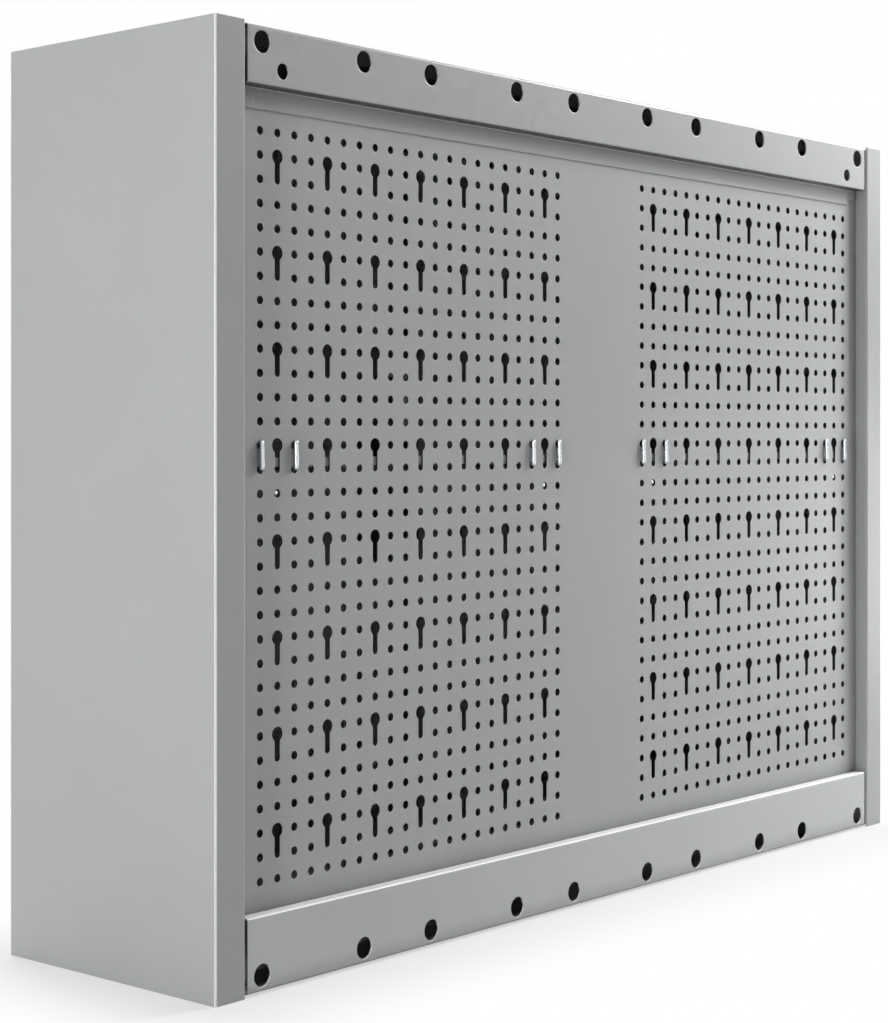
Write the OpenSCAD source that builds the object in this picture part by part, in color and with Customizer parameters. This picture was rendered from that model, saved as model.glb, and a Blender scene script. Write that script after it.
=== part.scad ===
// Wall-hung tool cabinet: folded sheet steel body with a perforated back, two hinged doors
// on pivot pins, and two shelves that hang from the perforation on wire brackets.
// X runs left to right seen from the doors, the doors face -Y, and Z=0 is the underside.

/* [Cabinet] */
// Overall width
cabinet_w = 800; // [770:2:1000]
// Overall height
cabinet_h = 595; // [580:5:900]
// Overall depth
cabinet_d = 198; // [180:2:300]
// Thickness of the sheet steel
sheet = 1; // [1:0.1:1.5]
// Radius of a fold, to the middle of the sheet
fold_r = 1.2; // [1:0.1:1.5]

/* [Back] */
// Width of the side panels' rear flanges
rear_flange = 25; // [20:0.5:30]
// How far the perforated panel lies in front of the rear flanges
recess = 11; // [8:1:15]
// How much lower the top and bottom panels are than the ends of the side panels
web_drop = 1.5; // [1:0.5:2.5]
// Height of the upper wall rail
top_rail_h = 36.5; // [36:0.5:42]
// Height of the lower wall rail
bottom_rail_h = 46.5; // [40:0.5:50]
// Height of the lip that the upper rail turns down over the panel
tab_h = 13.5; // [9:0.5:15]
// Gap between a rail's end and the side flange
rail_gap = 2.5; // [1:0.5:4]
// Gap between the perforated panel's edge and the side
panel_gap = 1.6; // [1.2:0.1:2.5]

/* [Perforation] */
// Distance from hole to hole
pitch = 15; // [15:1:15]
// Diameter of a plain hole
hole_d = 5.4; // [4.5:0.1:6]
// Diameter of a keyhole's head
key_head_d = 9.2; // [8:0.1:10]
// Width of a keyhole's slot
key_slot_w = 4.6; // [4:0.1:5]
// Columns of holes in each of the two fields
columns = 21; // [21:1:21]
// Rows of holes
rows = 32; // [32:1:32]
// Distance between the middles of the two fields
field_spacing = 405; // [400:1:410]
// How far the holes' middle lies above the cabinet's middle
grid_rise = 1; // [0:0.5:3]

/* [Wall fixing] */
// Diameter of the wall fixing holes
fix_d = 14; // [10:0.5:15]
// Diameter of the two small holes in the upper rail
small_fix_d = 10; // [6:0.5:10]
// Distance of the wall fixing holes from the rail's outer edge
fix_edge = 10; // [10:0.5:12]

/* [Doors] */
// Width of the frame at each side of the doors
frame_side = 22; // [20:1:26]
// Height of the frame above and below the doors
frame_end = 20; // [18:1:24]
// Gap between a door and the frame
door_gap = 2.5; // [2:0.1:3]
// Gap between the two doors
centre_gap = 3; // [2:0.5:4]
// Thickness of a door
door_d = 16; // [16:0.5:18]
// How far the doors lie behind the frame's face
door_inset = 2; // [2:0.5:3]
// Diameter of a pivot pin
pivot_d = 6; // [5:0.5:7]
// Running clearance all round a pivot pin
pivot_play = 0.05; // [0.03:0.01:0.1]

/* [Lock and handle] */
// Height of the handle's middle
handle_z = 298; // [258:10:318]
// Height of the handle's rim
handle_h = 116; // [100:2:130]
// Width of the handle's rim
handle_w = 52; // [46:1:60]
// Height of the lock
lock_z = 390; // [385:1:420]
// Length of the lock's cam, from its axis
cam_l = 46; // [44:1:48]

/* [Shelves] */
// Width of a shelf
shelf_w = 316; // [306:2:316]
// Depth of a shelf
shelf_d = 150; // [100:5:150]
// Height of a shelf's front and side edges
shelf_edge = 15; // [12:1:18]
// Diameter of the bracket wire
wire_d = 3; // [2.8:0.1:3.4]

/* [Hidden] */
$fn = 48;
eps = 0.01;
half_w = cabinet_w / 2;
half_d = cabinet_d / 2;
web_z = cabinet_h - web_drop;
panel_y = half_d - recess;
panel_half = half_w - rear_flange - panel_gap;
panel_end = 12;
rail_y = half_d - 1;
rail_half = half_w - rear_flange - rail_gap;
weld_flange = 13.5;
front_return = 14;
stop_depth = 34;
frame_half = half_w - frame_side;
weld_end = 12;
weld_l = cabinet_d - 50;
weld_play = 0.1;
notch_play = 0.3;
notch_in = 30;
return_cut = front_return + 10;
end_cut_w = 60;

fix_first = 45.75;
fix_pair = 65.7;
fix_step = 91.5;
small_fix_x = 342.5;
small_fix_drop = 16;
lip_notch = [13.5, 5];

grid_z = cabinet_h / 2 + grid_rise;
hook_row = 13;
hook_z = grid_z + ((rows - 1) / 2 - hook_row) * pitch;
arm_z = hook_z - pitch;
peg_z = arm_z - pitch;

door_front = door_inset - half_d;
door_back = door_front + door_d;
door_x0 = centre_gap / 2;
door_x1 = frame_half - door_gap;
door_z0 = frame_end + door_gap;
door_z1 = cabinet_h - door_z0;
door_lip = 13;
pivot_inset = 7;
pivot_x = door_x1 - pivot_inset;
pivot_y = door_front + pivot_inset;
pivot_grip = 9.5;
pivot_head_r = 5;
pivot_head_h = 1.8;
bush_r = 5;
bush_l = 8.5;
collar_r = 6.4;
collar_h = door_gap - 0.3;
seat_play = 0.1;

shelf_play = 0.3;
shelf_lip = 5.5;
shelf_hem = 8;
mitre = 3;
hook_r = 2.5;
hook_rise = 2.8;
hook_reach = 2.9;
arm_end = 12;
corner_r = 6;
peg_sink = 0.6;

stiffener_w = 50;
stiffener_crown_w = 24;
stiffener_gap = 5;
stiffener_end = 20;

handle_x = 45;
handle_depth = 13;
handle_wall = 1.6;
rim_overlap = 6;
rim_t = 1.5;
lock_x = 32;
lock_head_r = 11;
lock_head_t = 1.8;
barrel_r = 8;
plug_r = 5.5;
plug_play = 0.05;
cam_w = 14;
cam_t = 2;
cam_square = 7;
keyway = [1.4, 14, 6.5];
cam_y = door_back + 1.4;
lock_nut_af = 22;

catch_x = 60;
catch_size = [46, 14, 12];
catch_gap = 1.6;
catch_y = door_back + catch_gap + catch_size.y / 2;
catch_hole = catch_size.x / 2 - 4;
pole_size = [32, 12, 9];
pole_play = 0.4;
pole_proud = 0.4;
keeper_size = [40, 1, 11];
buffer_size = [14, 10, 12];

bolt_x = 25;
bolt_y = door_back + 7;
bolt_r = 4;
bolt_play = 0.1;
bolt_l = 65;
bolt_clear = 0.5;
bolt_tip = 1.2;
knob_y = [11, 17];
knob_r = 4;
knob_stem_r = 2;
guide_plate = [35, 1.5, 68];
loop_w = 16;
loop_h = 10;
loop_drop = 5.5;
guide_screw_x = door_x0 + door_lip / 2 + 1;
guide_inner_z = door_z1 - guide_plate.z;
screw_r = 1.6;
screw_head_r = 3;

body_grey = [0.80, 0.81, 0.81];
door_grey = [0.78, 0.79, 0.80];
zinc = [0.86, 0.87, 0.88];
chrome = [0.75, 0.76, 0.78];
black = [0.10, 0.10, 0.11];
nylon = [0.92, 0.91, 0.86];

// ---- Shared shapes ----

// A straight leg of a folded section.
module leg(a, b) {
    size = abs(b.x - a.x) > abs(b.y - a.y) ? [norm(b - a), sheet] : [sheet, norm(b - a)];
    translate((a + b) / 2) square(size, center = true);
}

// A fold of 90 degrees round point p.
module fold(p, way_in, way_out) {
    middle = p - way_in * fold_r + way_out * fold_r;
    reach = fold_r + sheet;
    intersection() {
        translate(middle) difference() {
            circle(fold_r + sheet / 2);
            circle(fold_r - sheet / 2);
        }
        translate(middle + (way_in - way_out) * reach / 2) square(reach, center = true);
    }
}

// The section of a folded sheet along a path of square corners, on the middle of the sheet.
module folded(path) {
    last = len(path) - 1;
    way = [for (i = [0:last - 1]) (path[i + 1] - path[i]) / norm(path[i + 1] - path[i])];
    for (i = [0:last - 1]) {
        leg(path[i] + way[i] * (i == 0 ? 0 : fold_r), path[i + 1] - way[i] * (i == last - 1 ? 0 : fold_r));
        if (i < last - 1) fold(path[i + 1], way[i], way[i + 1]);
    }
}

// A rectangle with round corners, centred.
module round_rect(size, r) {
    square([size.x - 2 * r, size.y], center = true);
    square([size.x, size.y - 2 * r], center = true);
    for (x = [-1, 1], y = [-1, 1])
        translate([x * (size.x / 2 - r), y * (size.y / 2 - r)]) circle(r);
}

// Turns a section drawn in Y and Z into a bar along X, centred, of length l.
module bar_x(l) {
    translate([-l / 2, 0, 0]) rotate([90, 0, 90]) linear_extrude(l) children();
}

// Turns a shape drawn in X and Z into a plate from y0 to y1.
module plate_y(y0, y1) {
    translate([0, y1, 0]) rotate([90, 0, 0]) linear_extrude(y1 - y0) children();
}

// A cylinder along Y.
module rod_y(x, z, y0, y1, r) {
    translate([x, y0, z]) rotate([-90, 0, 0]) cylinder(h = y1 - y0, r = r);
}

module mirror_x(on) {
    mirror([on ? 1 : 0, 0, 0]) children();
}

module upside_down() {
    translate([0, 0, cabinet_h]) mirror([0, 0, 1]) children();
}

// ---- Body ----

// The right side panel: frame return, frame face, side, rear flange, recess wall, weld flange.
module side_panel() {
    mid = sheet / 2;
    path = [
        [frame_half + mid, front_return - half_d],
        [frame_half + mid, mid - half_d],
        [half_w - mid, mid - half_d],
        [half_w - mid, half_d - mid],
        [half_w - rear_flange + mid, half_d - mid],
        [half_w - rear_flange + mid, panel_y - sheet - mid],
        [half_w - rear_flange - weld_flange, panel_y - sheet - mid]
    ];
    notch_h = web_drop + sheet + notch_play;
    notch_x = frame_half - notch_in;
    color(body_grey) difference() {
        linear_extrude(cabinet_h) folded(path);
        for (z = [-eps, cabinet_h - notch_h])
            translate([notch_x, sheet - half_d, z])
                cube([half_w - sheet - notch_x, cabinet_d - 2 * sheet, notch_h + eps]);
    }
}

// Section of the top panel: stop, frame face, top, rail, recess wall and lip.
function end_path(rail_h, lip) = let (mid = sheet / 2, rail_z = web_z - rail_h + mid) [
    [stop_depth - half_d, cabinet_h - frame_end + mid],
    [mid - half_d, cabinet_h - frame_end + mid],
    [mid - half_d, web_z - mid],
    [rail_y - mid, web_z - mid],
    [rail_y - mid, rail_z],
    [panel_y + mid, rail_z],
    [panel_y + mid, rail_z + lip]
];

// Cuts an end panel's right end from x outwards, between y0 and y1, up to z1.
module end_cut(x, y0, y1, z1) {
    translate([x, y0, 0]) cube([end_cut_w, y1 - y0, z1]);
}

// The end panel between the sides, with the flanges that weld it to them.
module end_panel(rail_h, lip) {
    web_half = half_w - sheet - weld_play;
    under_web = web_z - sheet - eps;
    frame_cut = frame_half - 0.5;
    difference() {
        union() {
            bar_x(2 * web_half) folded(end_path(rail_h, lip));
            for (side = [-1, 1])
                translate([side * (web_half - sheet / 2), 0, web_z - (weld_end + sheet) / 2])
                    cube([sheet, weld_l, weld_end], center = true);
        }
        for (side = [-1, 1]) mirror_x(side < 0) {
            end_cut(rail_half, panel_y - 1, half_d + 1, under_web);
            end_cut(rail_half, half_d - 3, half_d + 1, cabinet_h);
            end_cut(frame_cut, -half_d - 1, stop_depth + 1 - half_d, under_web - weld_end);
            end_cut(frame_cut, -half_d - 1, return_cut - half_d, under_web);
            end_cut(frame_cut, -half_d - 1, 2 - half_d, cabinet_h);
        }
        for (x = fix_x(), side = [-1, 1])
            rod_y(side * x, web_z - fix_edge, rail_y - 3, rail_y + 1, fix_d / 2);
        for (side = [-1, 1])
            frame_hole(side * pivot_x, pivot_y, pivot_d / 2 + seat_play);
        frame_hole(-bolt_x, bolt_y, bolt_r + 1);
    }
}

// A hole through the frame above the doors.
module frame_hole(x, y, r) {
    translate([x, y, cabinet_h - frame_end - 1]) cylinder(h = sheet + 2, r = r);
}

// Wall fixing holes, in pairs: half of them, from the middle outwards.
function fix_x() = [for (i = [0:4]) fix_first + ceil(i / 2) * fix_pair + floor(i / 2) * fix_step];

module top_panel() {
    lip_z = web_z - top_rail_h + sheet / 2 - tab_h;
    color(body_grey) difference() {
        end_panel(top_rail_h, -tab_h);
        for (side = [-1, 1]) {
            rod_y(side * small_fix_x, web_z - fix_edge - small_fix_drop,
                rail_y - 3, rail_y + 1, small_fix_d / 2);
            for (dx = [-1, 1])
                frame_hole(side * catch_x + dx * catch_hole, catch_y, screw_r + 0.2);
            mirror_x(side < 0) translate([rail_half - lip_notch.x, panel_y - 1, lip_z - eps])
                cube([end_cut_w, sheet + 2, lip_notch.y]);
        }
    }
}

module bottom_panel() {
    color(body_grey) upside_down() end_panel(bottom_rail_h, tab_h);
}

// True at the two rows that a keyhole takes up.
function in_key(c, r) = c % 3 == 1 && c < columns - 1 && r % 4 > 0 && r % 4 < 3;

module keyhole() {
    circle(d = key_head_d);
    translate([-key_slot_w / 2, -pitch]) square([key_slot_w, pitch]);
    translate([0, -pitch]) circle(d = key_slot_w);
}

// One column of holes, with a keyhole wherever the pattern has one.
module hole_column(c) {
    for (r = [0:rows - 1])
        translate([0, ((rows - 1) / 2 - r) * pitch])
            if (!in_key(c, r)) circle(d = hole_d);
            else if (r % 4 == 1) keyhole();
}

module back_panel() {
    color(body_grey) plate_y(panel_y - sheet, panel_y) difference() {
        translate([-panel_half, panel_end]) square([2 * panel_half, cabinet_h - 2 * panel_end]);
        for (side = [-1, 1]) translate([side * field_spacing / 2, grid_z])
            for (c = [0:columns - 1])
                translate([(c - (columns - 1) / 2) * pitch, 0]) hole_column(c);
    }
}

// ---- Shelves ----

module shelf(x) {
    mid = sheet / 2;
    back = panel_y - sheet - shelf_play - mid;
    front = back - shelf_d + sheet;
    top = arm_z + wire_d / 2 + mid;
    path = [
        [back, top + shelf_lip], [back, top], [front, top],
        [front, top - shelf_edge], [front + shelf_hem, top - shelf_edge]
    ];
    color(body_grey) translate([x, 0, 0]) {
        bar_x(shelf_w) folded(path);
        for (side = [-1, 1])
            translate([side * (shelf_w / 2 - mid), (front + back) / 2, top - shelf_edge / 2])
                cube([sheet, shelf_d - 2 * mitre, shelf_edge], center = true);
    }
}

module wire(a, b) {
    reach = b - a;
    l = norm(reach);
    translate(a) rotate([0, acos(reach.z / l), atan2(reach.y, reach.x)]) cylinder(h = l, d = wire_d);
}

module wire_bend(r) {
    rotate_extrude(angle = 90) translate([r, 0]) circle(d = wire_d);
}

// A bracket of bent wire: two arms whose hooks turn up behind the panel, and a brace that pegs into it.
module shelf_bracket(x) {
    arm_x = pitch;
    hook_y = panel_y + hook_reach;
    hook_top = hook_z + hook_rise;
    arm_front = panel_y - sheet - shelf_d + arm_end;
    peg_back = panel_y - peg_sink;
    brace_z = arm_z - wire_d + 0.4;
    color(zinc) translate([x, 0, 0]) {
        for (side = [-1, 1]) {
            wire([side * arm_x, arm_front + corner_r, arm_z], [side * arm_x, hook_y - hook_r, arm_z]);
            wire([side * arm_x, hook_y, arm_z + hook_r], [side * arm_x, hook_y, hook_top]);
            translate([side * arm_x, hook_y - hook_r, arm_z + hook_r]) rotate([0, 90, 0])
                wire_bend(hook_r);
            mirror_x(side > 0)
                translate([-arm_x + corner_r, arm_front + corner_r, arm_z]) rotate([0, 0, 180])
                    wire_bend(corner_r);
        }
        wire([-arm_x + corner_r, arm_front, arm_z], [arm_x - corner_r, arm_front, arm_z]);
        wire([0, arm_front - 1, brace_z], [0, peg_back, peg_z]);
    }
}

// The x of a bracket's peg: column 1 or column 19 of a field.
function bracket_x(field, end) = field * field_spacing / 2 + end * ((columns - 1) / 2 - 1) * pitch;

// ---- Doors ----

module pivot_pins() {
    color(zinc) for (x = [-pivot_x, pivot_x], up = [0, 1])
        translate([x, pivot_y, up * cabinet_h]) mirror([0, 0, up]) {
            translate([0, 0, frame_end - sheet]) cylinder(h = sheet + pivot_grip + door_gap, d = pivot_d);
            translate([0, 0, frame_end - sheet - pivot_head_h]) cylinder(h = pivot_head_h, r = pivot_head_r);
        }
}

// The outline of a door seen from above, filled.
module door_outline() {
    r = fold_r + sheet / 2;
    translate([(door_x0 + door_x1) / 2, (door_front + door_back) / 2])
        round_rect([door_x1 - door_x0, door_d], r);
}

// The right door's pan: front, folded edges, and the lips all round its back.
module door_pan() {
    mid = sheet / 2;
    path = [
        [door_x1 - door_lip, door_back - mid], [door_x1 - mid, door_back - mid],
        [door_x1 - mid, door_front + mid], [door_x0 + mid, door_front + mid],
        [door_x0 + mid, door_back - mid], [door_x0 + door_lip, door_back - mid]
    ];
    translate([0, 0, door_z0]) linear_extrude(door_z1 - door_z0) folded(path);
    for (z = [door_z0, door_z1 - sheet]) translate([0, 0, z]) linear_extrude(sheet) door_outline();
    for (z = [door_z0, door_z1 - door_lip])
        translate([door_x0 + door_lip - 1, door_back - sheet, z])
            cube([door_x1 - door_x0 - 2 * door_lip + 2, sheet, door_lip]);
}

module pivot_holes() {
    for (z = [door_z0 - 1, door_z1 - sheet - 1])
        translate([pivot_x, pivot_y, z]) cylinder(h = sheet + 2, r = bush_r + seat_play);
}

module door_right() {
    color(door_grey) difference() {
        door_pan();
        pivot_holes();
        plate_y(door_front - 1, door_front + sheet + 1)
            translate([handle_x, handle_z]) round_rect(cup_size() + [0.6, 0.6], cup_r() + 0.3);
        rod_y(lock_x, lock_z, door_front - 1, door_front + sheet + 1, barrel_r + seat_play);
    }
}

module door_left() {
    color(door_grey) difference() {
        mirror_x(true) door_pan();
        mirror_x(true) pivot_holes();
        for (z = guide_screw_z())
            rod_y(-guide_screw_x, z, door_back - sheet - 1, door_back + 1, screw_r + 0.2);
    }
}

module stiffener() {
    mid = door_front + sheet * 1.5;
    crown = door_back - stiffener_gap;
    x = (door_x0 + door_x1) / 2 + stiffener_w / 2;
    foot = stiffener_w / 2;
    top = stiffener_crown_w / 2;
    path = [
        [x - foot, mid], [x - top, mid], [x - top, crown],
        [x + top, crown], [x + top, mid], [x + foot, mid]
    ];
    color(body_grey) translate([0, 0, door_z0 + stiffener_end])
        linear_extrude(door_z1 - door_z0 - 2 * stiffener_end) folded(path);
}

// The nylon bushes in the ends of the right door, each with a collar that carries the door.
module door_bushes() {
    color(nylon) for (up = [0, 1])
        translate([pivot_x, pivot_y, up * cabinet_h]) mirror([0, 0, up]) difference() {
            union() {
                translate([0, 0, door_z0 - collar_h]) cylinder(h = collar_h, r = collar_r);
                translate([0, 0, door_z0]) cylinder(h = bush_l, r = bush_r);
            }
            translate([0, 0, door_z0 - collar_h - 1])
                cylinder(h = collar_h + bush_l + 2, r = pivot_d / 2 + pivot_play);
        }
}

// ---- Handle and lock ----

function cup_size() = [handle_w - 2 * rim_overlap, handle_h - 2 * rim_overlap];
function cup_r() = 8;

module cup_handle() {
    inner = cup_size() - [2 * handle_wall, 2 * handle_wall];
    color(black) translate([handle_x, 0, handle_z]) difference() {
        union() {
            plate_y(door_front - rim_t, door_front) round_rect([handle_w, handle_h], cup_r() + rim_overlap);
            plate_y(door_front - eps, door_front + handle_depth) round_rect(cup_size(), cup_r());
        }
        plate_y(door_front - rim_t - 1, door_front + handle_depth - handle_wall)
            round_rect(inner, cup_r() - handle_wall);
    }
}

module lock_barrel() {
    color(chrome) difference() {
        union() {
            rod_y(lock_x, lock_z, door_front - lock_head_t, door_front, lock_head_r);
            rod_y(lock_x, lock_z, door_front - eps, door_back, barrel_r);
        }
        rod_y(lock_x, lock_z, door_front - 3, door_back + 1, plug_r + plug_play);
    }
}

module lock_nut() {
    color(zinc) difference() {
        translate([lock_x, door_front + sheet, lock_z]) rotate([-90, 0, 0])
            cylinder(h = 4, r = lock_nut_af / 2 / cos(30), $fn = 6);
        rod_y(lock_x, lock_z, door_front, door_front + 10, barrel_r + seat_play);
    }
}

module lock_plug() {
    color(chrome) difference() {
        union() {
            rod_y(lock_x, lock_z, door_front - lock_head_t, cam_y, plug_r);
            translate([lock_x, cam_y + cam_t / 2, lock_z])
                cube([cam_square, cam_t, cam_square], center = true);
        }
        translate([lock_x, door_front, lock_z]) cube(keyway, center = true);
        rod_y(lock_x, lock_z, cam_y - 6, cam_y + cam_t + 1, screw_r);
    }
}

// The cam hangs down when the lock is open.
module lock_cam() {
    color(zinc) plate_y(cam_y, cam_y + cam_t) translate([lock_x, lock_z]) difference() {
        union() {
            circle(d = cam_w + 2);
            translate([-cam_w / 2, cam_w / 2 - cam_l]) square([cam_w, cam_l - cam_w / 2]);
            translate([0, cam_w / 2 - cam_l]) circle(d = cam_w);
        }
        square(cam_square + 0.1, center = true);
    }
}

module lock_cam_screw() {
    color(zinc) difference() {
        union() {
            rod_y(lock_x, lock_z, cam_y - 5, cam_y + cam_t, screw_r);
            rod_y(lock_x, lock_z, cam_y + cam_t, cam_y + cam_t + 2, 5.5);
        }
        translate([lock_x, cam_y + cam_t + 2, lock_z]) cube([8, 1.6, 1.2], center = true);
    }
}

// ---- Catches, buffers and bolts ----

module at_catches() {
    for (side = [-1, 1])
        translate([side * catch_x, catch_y, cabinet_h - frame_end - catch_size.z / 2]) children();
}

module magnetic_catches() {
    color(black) at_catches() difference() {
        cube(catch_size, center = true);
        translate([0, -catch_size.y / 2, 0])
            cube([pole_size.x, 2 * pole_size.y, pole_size.z] + pole_play * [1, 1, 1], center = true);
        for (dx = [-1, 1])
            translate([dx * catch_hole, 0, -catch_size.z]) cylinder(h = 2 * catch_size.z, r = screw_r + 0.2);
    }
}

// Two pole plates with a magnet between them in each catch.
module catch_poles() {
    plate = 1.5;
    color(zinc) at_catches() translate([0, -catch_size.y / 2 + pole_size.y / 2, 0]) {
        for (side = [-1, 1])
            translate([0, -pole_proud, side * (pole_size.z - plate) / 2])
                cube([pole_size.x, pole_size.y, plate], center = true);
        cube([pole_size.x, pole_size.y - 1, pole_size.z - plate], center = true);
    }
}

module catch_screws() {
    color(zinc) at_catches() for (dx = [-1, 1]) translate([dx * catch_hole, 0, -catch_size.z / 2 - 2]) {
        cylinder(h = catch_size.z + sheet + 3.5, r = screw_r);
        cylinder(h = 2, r = screw_head_r);
    }
}

module keeper() {
    color(zinc) translate([catch_x, door_back + keeper_size.y / 2, door_z1 - door_lip / 2])
        cube(keeper_size, center = true);
}

module door_buffers() {
    color(black) for (side = [-1, 1])
        translate([side * catch_x, door_back + 0.3 + buffer_size.y / 2, frame_end + buffer_size.z / 2])
            plate_y(-buffer_size.y / 2, buffer_size.y / 2) round_rect([buffer_size.x, buffer_size.z], 2);
}

function guide_screw_z() = [for (up = [0, 1], dz = [10, guide_plate.z - 12])
    up ? guide_inner_z + dz : cabinet_h - guide_inner_z - dz];

// A half disc of width w on a foot.
module arch(w, foot) {
    intersection() {
        circle(d = w);
        translate([-w / 2, -0.5]) square(w);
    }
    translate([-w / 2, -foot]) square([w, foot]);
}

// The upper bolt's guide: a plate on the left door's lips, with two loops for the rod.
module bolt_guide() {
    plate_x = bolt_x + 13;
    color(zinc) difference() {
        union() {
            translate([-plate_x, door_back, guide_inner_z]) cube(guide_plate);
            for (z = [guide_inner_z + loop_drop, door_z1 - loop_drop - loop_h])
                translate([-bolt_x, bolt_y, z]) linear_extrude(loop_h)
                    arch(loop_w, bolt_y - door_back - 1);
        }
        translate([-bolt_x, bolt_y, 0]) cylinder(h = cabinet_h, r = bolt_r + bolt_play);
        for (z = guide_screw_z())
            rod_y(-guide_screw_x, z, door_back - 1, door_back + 4, screw_r + 0.2);
    }
}

// The upper bolt's rod with its knob, drawn back.
module bolt_rod() {
    knob_z = guide_inner_z + loop_drop + loop_h + 6;
    color(zinc) translate([-bolt_x, bolt_y, 0]) {
        translate([0, 0, door_z1 - bolt_clear - bolt_l]) cylinder(h = bolt_l - bolt_tip, r = bolt_r);
        translate([0, 0, door_z1 - bolt_clear - bolt_tip])
            cylinder(h = bolt_tip, r1 = bolt_r, r2 = bolt_r - bolt_tip);
        rod_y(0, knob_z, 0, knob_y.y - 1, knob_stem_r);
        rod_y(0, knob_z, knob_y.x, knob_y.y, knob_r);
    }
}

module guide_screws() {
    color(zinc) for (z = guide_screw_z()) {
        rod_y(-guide_screw_x, z, door_back - sheet - 2, door_back + guide_plate.y, screw_r);
        rod_y(-guide_screw_x, z, door_back + guide_plate.y, door_back + guide_plate.y + 1.6, screw_head_r);
    }
}

mirror_x(true) side_panel();  // side_panel_left
side_panel();  // side_panel_right
top_panel();
bottom_panel();
back_panel();
shelf(-field_spacing / 2);  // shelf_left
shelf(field_spacing / 2);  // shelf_right
shelf_bracket(bracket_x(-1, -1));  // shelf_bracket_left_outer
shelf_bracket(bracket_x(-1, 1));  // shelf_bracket_left_inner
shelf_bracket(bracket_x(1, -1));  // shelf_bracket_right_inner
shelf_bracket(bracket_x(1, 1));  // shelf_bracket_right_outer
pivot_pins();
door_left();
door_right();
mirror_x(true) stiffener();  // door_left_stiffener
stiffener();  // door_right_stiffener
mirror_x(true) door_bushes();  // door_left_bushes
door_bushes();  // door_right_bushes
cup_handle();
lock_barrel();
lock_nut();
lock_plug();
lock_cam();
lock_cam_screw();
magnetic_catches();
catch_poles();
catch_screws();
mirror_x(true) keeper();  // keeper_left
keeper();  // keeper_right
door_buffers();
bolt_guide();  // bolt_guide_top
upside_down() bolt_guide();  // bolt_guide_bottom
bolt_rod();  // bolt_rod_top
upside_down() bolt_rod();  // bolt_rod_bottom
guide_screws();
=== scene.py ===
"""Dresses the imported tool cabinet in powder-coated steel, zinc-plated hardware and moulded black parts.

The photograph looks at the back of the cabinet from its right-hand side, as seen from the doors, so the
camera stands behind it. Every size is in millimetres until mm() turns it into metres for Blender.
"""

import logging
import math
from dataclasses import dataclass, field
from enum import Enum
from typing import Any, Iterable

import bmesh
import bpy
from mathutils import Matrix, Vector


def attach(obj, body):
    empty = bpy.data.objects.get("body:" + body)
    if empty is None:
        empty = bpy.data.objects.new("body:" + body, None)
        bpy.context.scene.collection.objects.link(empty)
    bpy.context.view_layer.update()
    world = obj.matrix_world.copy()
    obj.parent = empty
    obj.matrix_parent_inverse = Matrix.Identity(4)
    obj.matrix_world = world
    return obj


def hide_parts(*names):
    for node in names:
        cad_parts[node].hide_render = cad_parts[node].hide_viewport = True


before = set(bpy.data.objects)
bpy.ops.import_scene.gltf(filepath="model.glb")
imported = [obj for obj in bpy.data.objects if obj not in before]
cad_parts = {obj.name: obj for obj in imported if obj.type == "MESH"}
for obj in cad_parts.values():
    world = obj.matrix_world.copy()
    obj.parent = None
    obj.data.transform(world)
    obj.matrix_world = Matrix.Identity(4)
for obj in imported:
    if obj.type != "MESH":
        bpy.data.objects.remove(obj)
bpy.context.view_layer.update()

LOG = logging.getLogger("cabinet")
IMAGE_PX = (888, 1023)
SENSOR_MM = 36.0

Point = tuple[float, float, float]
Pair = tuple[float, float]
Tree = bpy.types.NodeTree
Node = bpy.types.Node
Socket = bpy.types.NodeSocket


def mm(value: float) -> float:
    """Turns millimetres into metres."""
    return value / 1000.0


def linear(code: str) -> tuple[float, float, float, float]:
    """Turns an sRGB hex code into a linear colour.

    Args:
        code: Six hex digits, such as "B4B6B7".

    Returns:
        Linear red, green, blue and an alpha of 1.
    """
    parts = [int(code[i : i + 2], 16) / 255 for i in (0, 2, 4)]
    curve = [p / 12.92 if p <= 0.04045 else ((p + 0.055) / 1.055) ** 2.4 for p in parts]
    return (curve[0], curve[1], curve[2], 1.0)


def add_node(
    tree: Tree,
    kind: str,
    settings: dict[str | int, Any] | None = None,
    links: dict[str | int, Socket] | None = None,
) -> Node:
    """Adds a node to a tree.

    Args:
        tree: The node tree.
        kind: The node's type, without the ShaderNode in front.
        settings: Values by property name or, where the node has no such property, by input name or number.
        links: Output sockets by the input name or number that each one feeds.

    Returns:
        The new node.
    """
    node = tree.nodes.new(f"ShaderNode{kind}")
    for name, value in (settings or {}).items():
        if isinstance(name, str) and hasattr(node, name):
            setattr(node, name, value)
        else:
            node.inputs[name].default_value = value
    for name, socket in (links or {}).items():
        tree.links.new(socket, node.inputs[name])
    return node


class Slot(Enum):
    """The record's material slots."""

    BODY = "body_paint"
    DOOR = "door_paint"
    WIRE = "zinc_wire"
    ZINC = "zinc_steel"
    NYLON = "nylon"
    PLASTIC = "black_plastic"
    RUBBER = "rubber"
    CHROME = "lock_chrome"


class Body(Enum):
    """The bodies that this script's own pieces ride on."""

    CABINET = "cabinet"
    LEFT_DOOR = "left_door"
    RIGHT_DOOR = "right_door"
    UPPER_BOLT = "upper_bolt"
    LOWER_BOLT = "lower_bolt"


# ---- Finishes ----


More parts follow.
